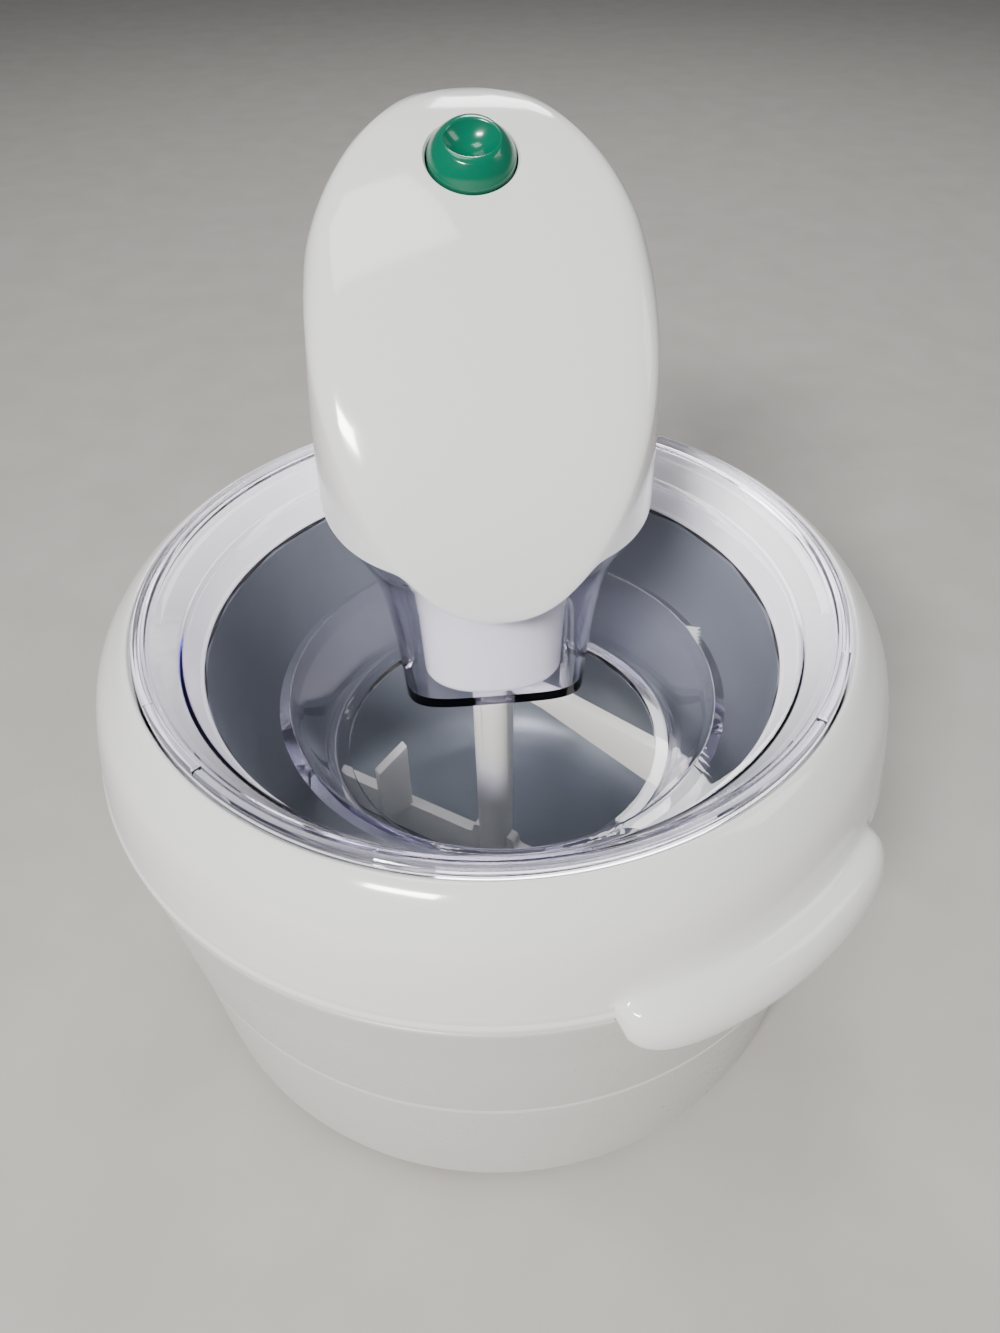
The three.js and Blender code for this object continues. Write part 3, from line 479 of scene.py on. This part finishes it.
def make_lower_housing():
    bottom = low("lower_housing", 2)
    top = high("lower_housing", 2)
    wall = 2.6
    profile = filleted([
        (0, bottom, 0), (99.6, bottom, 2), (101.6, bottom + 2.4, 3), (103.8, 40, 30), (105.0, 53.4, 0.8),
        (104.2, 54.4, 0.5), (105.3, 55.5, 0.8), (108.4, 88, 60),
        (110.6, top - 1.4, 0.6), (110.6, top - 0.5, 0.4),
        (110.0, top, 0.3), (108.0, top, 0.4), (108.4 - wall, 88, 10), (103.8 - wall, 40, 10),
        (101.4 - wall, bottom + wall, 3), (0, bottom + wall, 0),
    ])
    finish_piece(turned("lower_housing_skin", profile, 256), "lower_housing")


def grip_reach(angle):
    """How far the grip ledge stands out at an angle, from 0 to 1."""
    reach = 0
    for middle in (GRIP_ANGLE, GRIP_ANGLE + 180):
        off = math.degrees(math.remainder(angle - math.radians(middle), TURN)) / GRIP_HALF_SPAN
        if abs(off) < 1:
            reach = max(reach, (1 - abs(off) ** 7) ** 0.5)
    return reach


def make_upper_shell():
    seam = SEAM_Z
    plain = [(109.9, 112), (110.0, 111.4), (110.1, 110.8), (110.2, 110.2), (110.25, 109.7), (110.3, 109.2),
             (110.3, 108.8), (110.35, 108.4), (110.9, 107.8), (110.9, 107.4), (110.9, 107.1), (110.9, 106.8),
             (110.9, 106.5), (110.8, 106.2), (110.6, 106.0), (110.4, seam + 0.2)]
    grip = [(110.2, 114.4), (110.9, 113.5), (112.4, 113.0), (114.4, 112.8), (116.4, 112.0), (118.0, 110.2),
            (119.1, 107.4), (119.5, 104.2), (119.4, 101.4), (118.8, 99.5), (117.8, 98.8), (116.9, 99.8),
            (116.6, 102.4), (115.6, 107.2), (112.6, 108.8), (111.4, seam + 1.2)]
    dome = curve_through([(109.4, 116), (108.2, 122.6), (106.7, 128.4), (105.0, 132.2), (102.5, 135.8),
                          (99.7, 138.8), (97.9, 140.3), (96.8, 140.9)], 5)
    top = [(96.4, SHELL_TOP), (96.0, 140.9), (95.72, 140.5), (95.7, 128), (97.5, 128), (97.6, 137)]
    inside = curve_through([(99.4, 135.6), (101.8, 133), (105.2, 124), (107, 113)], 3)
    spigot = [(104.8, 108), (104.8, 98), (106.6, 98), (106.6, seam + 0.2)]

    def profile(angle):
        reach = grip_reach(angle)
        side = [tuple(Vector(a).lerp(Vector(b), reach)) for a, b in zip(plain, grip)]
        return [*side[::-1], *dome, *top, *inside, *spigot]

    shell = swept_round("upper_shell_skin", profile, 384)
    finish_piece(shell, "upper_shell", sharp=50)


def make_feet():
    for i in range(4):
        node = f"foot_{i + 1}"
        (x0, y0, _), (x1, y1, top) = [[v / MM for v in corner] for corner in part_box(node)]
        radius = (x1 - x0) / 2
        profile = filleted([(0, 0.3, 0), (4, 0, 0.3), (radius - 0.7, 0, 0.6), (radius, 1.2, 0.5),
                            (radius - 0.6, 3.0, 0.3), (3, 3.0, 0), (3, top, 0.2), (0, top, 0)])
        foot = turned(f"rubber_foot_{i + 1}", profile, 48, centre=((x0 + x1) / 2, (y0 + y1) / 2))
        finish_piece(foot, node)


def make_foam():
    floor = low("foam_liner", 2)
    profile = filleted([(0, floor, 0), (91.6, floor, 3), (96.4, floor + 5, 4), (102.2, 88, 6), (102.2, 96, 1),
                        (94, 96, 1), (93, 88, 6), (85.8, 16, 4), (83.6, floor + 2.9, 2), (0, floor + 2.9, 0)])
    finish_piece(turned("foam_cup", profile), "foam_liner")


# ---- Freezer bowl ------------------------------------------------------------------------------------


def make_bowl():
    corner = BOWL_CORNER
    back = corner + LINER_WALL
    lip = BOWL_RIM_Z - 1.8
    inner = [(56 + corner * math.sin(a), BOWL_FLOOR + corner - corner * math.cos(a))
             for a in [math.pi / 2 * k / 12 for k in range(13)]]
    outer = [(56 + back * math.sin(a), BOWL_FLOOR + corner - back * math.cos(a))
             for a in [math.pi / 2 * k / 12 for k in range(12, -1, -1)]]
    liner = [(0, BOWL_FLOOR), *inner, (BOWL_RADIUS, lip - 2), (BOWL_RADIUS, lip - 0.3),
             (BOWL_RADIUS + 0.3, lip), (88.6, lip), (88.6, lip - LINER_WALL),
             (BOWL_RADIUS + LINER_WALL, lip - LINER_WALL), *outer, (0, BOWL_FLOOR - LINER_WALL)]
    finish_piece(turned("bowl_liner_skin", liner, 256), "bowl_liner")

    outside = filleted([(0, 9.5, 0), (74, 9.5, 3), (81, 12, 3), (83, 18, 4), (91.4, 112, 2), (91.4, 130, 0.4),
                        (89.6, 130, 0.4), (89.6, 112, 2), (81.2, 18.6, 3), (79.6, 13.6, 2), (73.6, 11.2, 2),
                        (0, 11.2, 0)])
    finish_piece(turned("bowl_outer_skin", outside), "bowl_outer")

    rim = filleted([
        (BOWL_RADIUS + 0.3, BOWL_RIM_Z - 0.5, 0.1), (BOWL_RADIUS + 0.5, BOWL_RIM_Z - 0.1, 0.3),
        (BOWL_RADIUS + 1.4, BOWL_RIM_Z + 0.5, 0.4), (93.0, RIM_TOP - 0.2, 0.8),
        (RIM_RADIUS - 0.3, RIM_TOP, 0.3),
        (RIM_RADIUS, RIM_TOP - 0.6, 0.3), (RIM_RADIUS, 117, 0.4), (91.9, 117, 0.4), (91.9, 133.4, 0.6),
        (84.4, 125.4, 0.6), (84.4, BOWL_RIM_Z - 0.5, 0.2),
    ], closed=True)
    finish_piece(turned("bowl_rim_skin", rim, 256, closed=True), "bowl_rim")


# ---- Motor head surfaces -----------------------------------------------------------------------------


def smoothstep(x, start, end):
    t = min(1, max(0, (x - start) / (end - start)))
    return t * t * (3 - 2 * t)


def signed_power(value, power):
    return math.copysign(abs(value) ** power, value)


def head_outline(angle, inset=0.0):
    c, s = math.cos(angle), math.sin(angle)
    power = 2.45 if s < 0 else 1.7
    depth = HEAD_MIDDLE - HEAD_FRONT if s < 0 else HEAD_BACK - HEAD_MIDDLE
    return ((HEAD_WIDTH - inset) * signed_power(c, 2 / power),
            HEAD_MIDDLE + (depth - inset) * signed_power(s, 2 / power))


def face_height(x, y, edge):
    run = min(1, abs(y - FACE_PEAK_Y) / FACE_RUN)
    spine = FACE_BASE + FACE_RISE * (1 - run ** FACE_POWER) ** (1 / FACE_POWER)
    back = smoothstep(y, HEAD_FRONT, HEAD_BACK)
    start = 0.91 - 0.11 * back
    turn = max(0, (edge - start) / (1 - start))
    drop = (1.5 + 15.3 * back) * (1 - math.sqrt(max(0, 1 - turn * turn)))
    return spine - FACE_CROWN * x * x - drop


def head_bottom(x, y):
    softness = 1.1
    edge = face_height(x, y, 1) - 0.6
    lowest = min(edge, HEAD_BOTTOM)
    spread = math.exp((lowest - edge) / softness) + math.exp((lowest - HEAD_BOTTOM) / softness)
    return lowest - softness * math.log(spread)


def head_point(x, y, z):
    rise = (z - HEAD_BOTTOM) / NARROWING_HEIGHT
    return (x * (1 - HEAD_NARROWING * rise * abs(rise)), y, z)


def head_angles(count):
    return [TURN * (i + 0.5) / count for i in range(count)]


FACE_EDGES = [math.sin(math.pi / 2 * k / 14) for k in range(13, 0, -1)]


def head_rings(inset, drop, angles, edges):
    """Rings of the head's surface from its bottom edge up the wall and over the face."""
    rim = [head_outline(a, inset) for a in angles]
    rings = []
    for share in (0.0, 0.5, 1.0):
        ring = []
        for x, y in rim:
            start = head_bottom(x, y) - drop
            end = max(start + 0.3, face_height(x, y, 1) - inset)
            ring.append(head_point(x, y, start + (end - start) * share))
        rings.append(ring)
    for edge in edges:
        ring = []
        for x, y in rim:
            px, py = x * edge, HEAD_MIDDLE + (y - HEAD_MIDDLE) * edge
            ring.append(head_point(px, py, face_height(px, py, edge) - inset))
        rings.append(ring)
    return rings


def button_matrix():
    rise = face_height(0, BUTTON_Y + 0.5, 0) - face_height(0, BUTTON_Y - 0.5, 0)
    turn = Matrix.Rotation(math.atan2(rise, 1.0), 4, "X")
    place = Matrix.Translation((0, BUTTON_Y * MM, face_height(0, BUTTON_Y, 0) * MM))
    return place @ turn


def make_head_cover():
    angles = head_angles(160)
    cover = stacked("head_cover_skin", head_rings(0, 0, angles, FACE_EDGES))
    hollow = stacked("hollow", head_rings(HEAD_WALL, 6, angles, FACE_EDGES))
    boolean(cover, hollow, "DIFFERENCE")
    recess = turned("recess", filleted([
        (0, -20, 0), (BUTTON_RADIUS + 0.4, -20, 0), (BUTTON_RADIUS + 0.4, -1.0, 0.8),
        (BUTTON_RADIUS + 1.7, 0.7, 0.6), (BUTTON_RADIUS + 3.4, 2.4, 0), (0, 2.4, 0)]), 96)
    recess.data.transform(button_matrix())
    boolean(cover, recess, "DIFFERENCE")
    finish_piece(cover, "head_cover", sharp=40)


def nose_ring(share, z, angles, inset=0.0):
    ring = []
    for a in angles:
        x = (20.2 + 2.8 * share - inset) * signed_power(math.cos(a), 0.85)
        y = SOCKET_MIDDLE - 0.4 + (15.6 + 9.4 * share - inset) * signed_power(math.sin(a), 0.85)
        ring.append((x, y, z))
    return ring


def make_nose():
    """The head's base: its flange under the cover and the nose that stands in the lid's socket."""
    bottom, top = HEAD_BOTTOM + 0.4, HEAD_BOTTOM + 2.8
    tip = FUNNEL_FLOOR + 2.4
    angles = head_angles(96)
    rings = [nose_ring(0, tip + rise, angles, inset) for rise, inset in ((0, 1.6), (0.5, 0.5), (1.6, 0))]
    levels = curve_through([(0.0, tip + 2), (0.11, tip + 14), (0.3, tip + 30),
                            (0.6, bottom - 7), (1.0, bottom)], 4)
    rings += [nose_ring(share, z, angles) for share, z in levels]
    for z in (bottom, top):
        rings.append([(x, max(y, HEAD_FRONT + 7), z)
                      for x, y in (head_outline(a, HEAD_WALL + 0.8) for a in angles)])
    base = stacked("head_base_skin", rings)
    finish_piece(base, "head_base")


def make_button():
    """A cone with its tip scooped out: the hollow is wider than it is long."""
    radius = BUTTON_RADIUS
    angles = head_angles(96)

    def ellipse(half_width, half_length, z):
        return [(half_width * math.cos(a), half_length * math.sin(a), z) for a in angles]

    flank = curve_through([(radius, -5), (radius, -0.6), (radius - 0.35, 0.5), (radius - 1.1, 1.9),
                           (radius - 2.2, 3.3), (radius - 3.3, 4.4)], 4)
    rings = [ellipse(radius + 1.4, radius + 1.4, -7.6), ellipse(radius + 1.4, radius + 1.4, -5)]
    rings += [ellipse(r, r, z) for r, z in flank]
    wide, long = radius - 3.7, radius - 4.9
    rings.append(ellipse(wide + 0.15, long + 0.4, BUTTON_HEIGHT - 0.1))
    rings.append(ellipse(wide - 0.15, long - 0.05, BUTTON_HEIGHT - 0.05))
    for k in range(1, 11):
        share = math.cos(math.pi / 2 * k / 11)
        depth = 3.1 * (1 - share ** 2.2)
        rings.append(ellipse((wide - 0.3) * share, (long - 0.2) * share, BUTTON_HEIGHT - 0.35 - depth))
    body = stacked("button_cap", rings)
    body.data.transform(button_matrix())
    finish_piece(body, "button", sharp=75)


# ---- Clear lid ---------------------------------------------------------------------------------------

SOCKET_LEVELS = ((112, 0), (121, 0.04), (131, 0.1), (140, 0.18), (148, 0.28), (153, 0.39), (157.5, 0.55),
                 (163, 0.8), (167, 0.97))
SOCKET_FOOT = (25.4, 18.5)
SOCKET_MIDDLE = 2.0


def socket_rings(inset, floor, over):
    last = len(SOCKET_LEVELS) - 1
    rings = []
    for level, (z, share) in enumerate(SOCKET_LEVELS):
        ring = []
        for a in head_angles(160):
            foot_x = (SOCKET_FOOT[0] - inset) * signed_power(math.cos(a), 2 / 5)
            foot_y = SOCKET_MIDDLE + (SOCKET_FOOT[1] - inset) * signed_power(math.sin(a), 2 / 5)
            x, y = head_outline(a, 1 + inset)
            edge = head_bottom(*head_outline(a)) - 0.8
            height = edge + over if level == last else min(z, edge - 0.3 * (last - level))
            ring.append((foot_x + (x - foot_x) * share, foot_y + (y - foot_y) * share,
                         floor if level == 0 else height))
        rings.append(ring)
    return rings


def make_lid():
    under = LID_PLATE_Z - 2
    base = RIM_TOP + 0.4
    lid = turned("lid_clear", filleted([
        (0, under, 0), (83.6, under, 1.5), (88.8, 137.7, 1), (91.4, base, 0.8), (LID_RADIUS, base, 0.5),
        (LID_RADIUS, 140.4, 0.2), (LID_RADIUS - 0.5, 140.8, 0.2), (LID_RADIUS - 0.2, 141.4, 0.2),
        (LID_RADIUS - 0.3, LID_TOP - 0.5, 0.4), (94.1, LID_TOP, 0.4), (93.2, LID_TOP, 0.2),
        (92.9, LID_TOP - 0.5, 0.2), (92.4, LID_TOP - 0.5, 0.2), (92.1, LID_TOP - 0.1, 0.2),
        (91.5, LID_TOP - 0.3, 0.3),
        (91.1, 141.3, 0.3), (90.3, 141.2, 0.4), (89.5, 140.0, 0.6), (84.8, LID_PLATE_Z + 0.3, 1.5),
        (82, LID_PLATE_Z, 0), (0, LID_PLATE_Z, 0)]), 256)
    lip_top = FUNNEL_FLOOR + 2
    mouth = LID_PLATE_Z + 0.04
    wall = filleted([(43.2, lip_top, 0), (44.6, lip_top, 0.8), (46, 118.2, 30), (48.6, 123.4, 30),
                     (51, 128.4, 30), (53.4, mouth, 4), (55.2, mouth, 0)])
    outside = [(r + 2, z - 0.6) for r, z in wall[2:-8]]
    funnel = turned("funnel", [(0, FUNNEL_FLOOR), (45.6, FUNNEL_FLOOR), *outside, (56.5, under),
                               (56.5, LID_PLATE_Z - 0.4), (0, LID_PLATE_Z - 0.4)], 192, centre=(0, HOLE_Y))
    boolean(lid, funnel, "UNION")
    below = FUNNEL_FLOOR - 4
    opening = turned("opening", [(0, below), (HOLE_RADIUS, below), (HOLE_RADIUS, lip_top), *wall,
                                 (55.2, LID_PLATE_Z + 2),
                                 (0, LID_PLATE_Z + 2)], 192, centre=(0, HOLE_Y))
    boolean(lid, opening, "DIFFERENCE")
    floor = FUNNEL_FLOOR + 0.06
    boolean(lid, stacked("socket", socket_rings(0, floor, 0)), "UNION")
    boolean(lid, stacked("socket_inside", socket_rings(SOCKET_WALL, floor + 2, 3)), "DIFFERENCE")
    shaft_hole = turned("shaft_hole", [(0, 100), (SHAFT_HOLE_RADIUS, 100), (SHAFT_HOLE_RADIUS, 120),
                                       (0, 120)], 64)
    boolean(lid, shaft_hole, "DIFFERENCE")
    for angle in LUG_ANGLES:
        boolean(lid, make_lug(angle), "UNION")
    close_gaps(lid)
    bevelled(lid, 0.5, 2, 32)
    finish_piece(lid, "lid", sharp=28)
    flatten_shading(lid)


def make_lug(middle):
    rings = []
    for z, inset in ((LID_TOP - 1.4, 0), (LID_TOP + 0.6, 0), (LID_TOP + 1.0, 0.4)):
        ring = []
        for radius, way in ((92.4 + inset, 1), (94.8 - inset, -1)):
            for i in range(-6, 7):
                a = math.radians(middle + way * i * (8 - inset) / 6)
                ring.append((radius * math.cos(a), radius * math.sin(a), z))
        rings.append(ring)
    return stacked("lug", rings)


# ---- Paddle ------------------------------------------------------------------------------------------


def make_paddle():
    half = 2.0
    frame_outline = [
        (-58, 15.5, 3), (-66, 24, 3), (-66, 31, 1.5), (-8, 31, 3), (-8, 36, 3), (8, 36, 3), (8, 31, 3),
        (60, 31, 5), (60, 86, 6), (55, 89, 6), (17, 104, 8), (0, 108, 0), (0, 110.4, 0),
        (23, 110.4, 8), (55, 104, 10), (64, 100, 4),
        (67.5, 95, 4), (67.5, 25, 4), (58, 15.5, 4),
    ]
    outline = filleted(frame_outline, closed=True, steps=5)
    points = [(x, y, z) for y in (-half, half) for x, z in outline]
    count = len(outline)
    faces = [tuple(range(count)), tuple(range(2 * count - 1, count - 1, -1))]
    faces += [(j, (j + 1) % count, count + (j + 1) % count, count + j) for j in range(count)]
    paddle = mesh_piece("paddle_body", points, faces)
    rings = []
    for z, width in ((13.6, 4.6), (14.4, 5.2), (60, 5.55), (112.6, 5.9), (113.4, 5.4)):
        rings.append([(width * signed_power(math.cos(a), 0.8), width * signed_power(math.sin(a), 0.8), z)
                      for a in head_angles(48)])
    boolean(paddle, stacked("shaft", rings), "UNION")
    spigot = [[(4.5 * sx - c * sx, 4.5 * sy - c * sy, z) for sx, sy in ((-1, -1), (1, -1), (1, 1), (-1, 1))]
              for z, c in ((112, 0), (134.4, 0), (135, 0.6))]
    square = stacked("spigot", spigot)
    square.data.transform(Matrix.Rotation(math.radians(-PADDLE_ANGLE), 4, "Z"))
    boolean(paddle, square, "UNION")
    bevelled(paddle, 0.7, 3, 40)
    paddle.data.transform(Matrix.Rotation(math.radians(PADDLE_ANGLE), 4, "Z"))
    root, tip = Vector((-28.8, 19.8)), Vector((-39.1, 14.5))
    across = (tip - root).normalized().orthogonal() * 1.7
    fin = stacked("fin", [[(*(end + side * across), z) for end, side, z in (
        (root, 1, root_z), (tip, 1, tip_z), (tip, -1, tip_z), (root, -1, root_z))]
        for root_z, tip_z in ((29, 29), (60.5, 53))])
    bevelled(fin, 0.5, 2, 40)
    boolean(paddle, fin, "UNION")
    finish_piece(paddle, "paddle", sharp=35)


# ---- Carried-over CAD nodes --------------------------------------------------------------------------


def finish_cad_nodes():
    for name, node in frame["nodes"].items():
        node.data.materials.clear()
        node.data.materials.append(MATERIALS[SLOT_OF[name]])


# ---- Floor and light ---------------------------------------------------------------------------------


def make_stage():
    bpy.ops.mesh.primitive_plane_add(size=6, location=(0, 0, 0))
    floor = bpy.context.active_object
    floor.name = "floor"
    nodes = Nodes("pale_floor", (0.50, 0.48, 0.45), 0.6)
    nodes.vary_color(nodes.noise(30), [(0.3, (0.48, 0.46, 0.43)), (0.7, (0.52, 0.50, 0.47))])
    floor.data.materials.append(nodes.material)
    world = bpy.data.worlds.new("room")
    world.use_nodes = True
    world.node_tree.nodes["Background"].inputs["Color"].default_value = (0.72, 0.74, 0.78, 1)
    world.node_tree.nodes["Background"].inputs["Strength"].default_value = 0.17
    bpy.context.scene.world = world


def area_light(name, place, target, size, energy, color=(1, 1, 1)):
    data = bpy.data.lights.new(name, "AREA")
    data.shape = "RECTANGLE"
    data.size, data.size_y = size
    data.energy = energy
    data.color = color
    light = bpy.data.objects.new(name, data)
    bpy.context.scene.collection.objects.link(light)
    light.location = place
    light.rotation_euler = (Vector(target) - Vector(place)).to_track_quat("-Z", "Y").to_euler()


def make_lights():
    area_light("key", (-0.50, -0.88, 0.92), (0, 0, 0.12), (0.34, 0.14), 23, (1, 0.985, 0.96))
    area_light("overhead", (-0.25, -0.1, 1.5), (0, 0, 0.1), (0.5, 0.5), 5)
    area_light("side", (1.1, -0.3, 0.9), (0, 0, 0.1), (0.5, 0.5), 2.5)
    area_light("back", (0.2, 0.95, 1.15), (0, 0, 0.1), (0.4, 0.3), 6)


make_camera()
make_cord()
finish_cad_nodes()
make_lower_housing()
make_upper_shell()
make_feet()
make_foam()
make_bowl()
make_head_cover()
make_nose()
make_button()
make_lid()
make_paddle()
make_stage()
make_lights()
